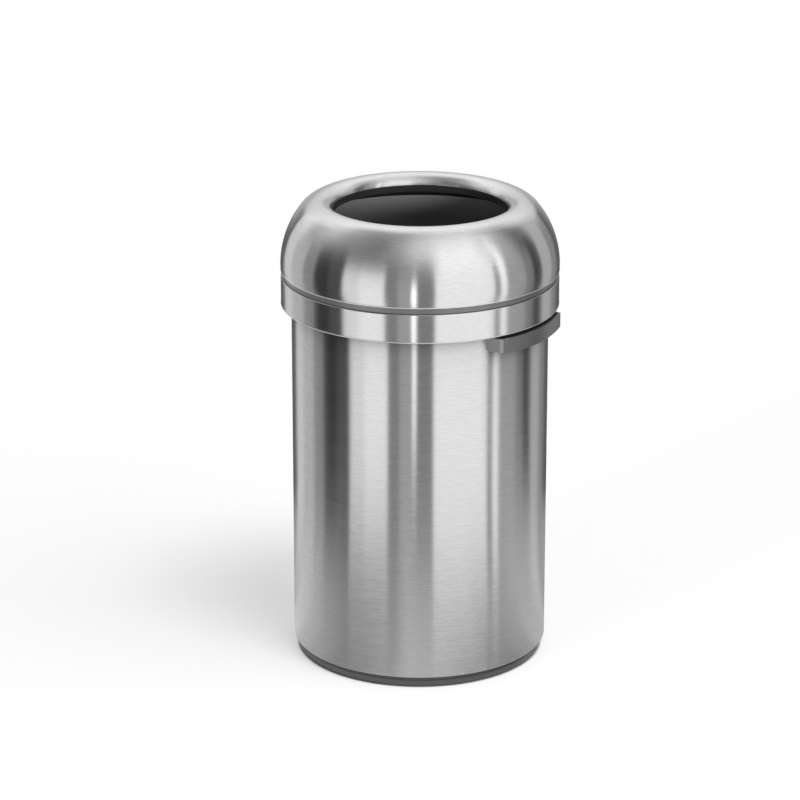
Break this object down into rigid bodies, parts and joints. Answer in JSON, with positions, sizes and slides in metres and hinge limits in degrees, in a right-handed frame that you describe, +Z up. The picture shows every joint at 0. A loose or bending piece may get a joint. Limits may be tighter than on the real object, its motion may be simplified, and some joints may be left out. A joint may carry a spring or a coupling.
{
  "type": "open-top waste bin",
  "caption": "Round brushed steel waste bin with a lift-off dome top, a round opening, a banded collar, cup handles and a dark moulded base.",
  "frame": {"origin": "centre of the tread ring, on the floor", "axes": "+Z up along the bin's axis, -Y to the front, the handles on +X and -X"},
  "size_m": [0.426, 0.42, 0.712],
  "materials": {
    "steel": "fine brushing round the axis, clear reflections",
    "floor_steel": "dull rolled sheet",
    "grey_plastic": "mid grey, fine satin",
    "liner_plastic": "dark grey, satin",
    "base_plastic": "dark grey, satin",
    "black_plastic": "black, satin",
    "tread_rubber": "black, matt",
    "zinc_steel": "zinc plated",
    "insert_brass": "turned"
  },
  "bodies": {
    "can": {"body_shell": "steel", "base_ring": "base_plastic", "foot_ring": "tread_rubber", "floor_pan": "floor_steel", "base_screws": "zinc_steel", "collar_ring": "grey_plastic", "collar_rivets": "zinc_steel", "collar_band": "steel", "handle_right": "grey_plastic", "handle_left": "grey_plastic", "handle_washers": "zinc_steel", "handle_screws": "zinc_steel", "handle_inserts": "insert_brass"},
    "lid": {"lid_rim": "grey_plastic", "lid_screws": "zinc_steel", "dome_shell": "steel", "throat_ring": "black_plastic", "dome_liner": "liner_plastic"},
    "bag_holder": {"bag_ring": "black_plastic"}
  },
  "joints": [
    {"name": "lid_lift", "type": "slide", "parent": "can", "child": "lid", "axis": [0, 0, 1], "range_m": [0, 0.2]},
    {"name": "bag_ring_lift", "type": "slide", "parent": "can", "child": "bag_holder", "axis": [0, 0, 1], "range_m": [0, 0.04]}
  ]
}
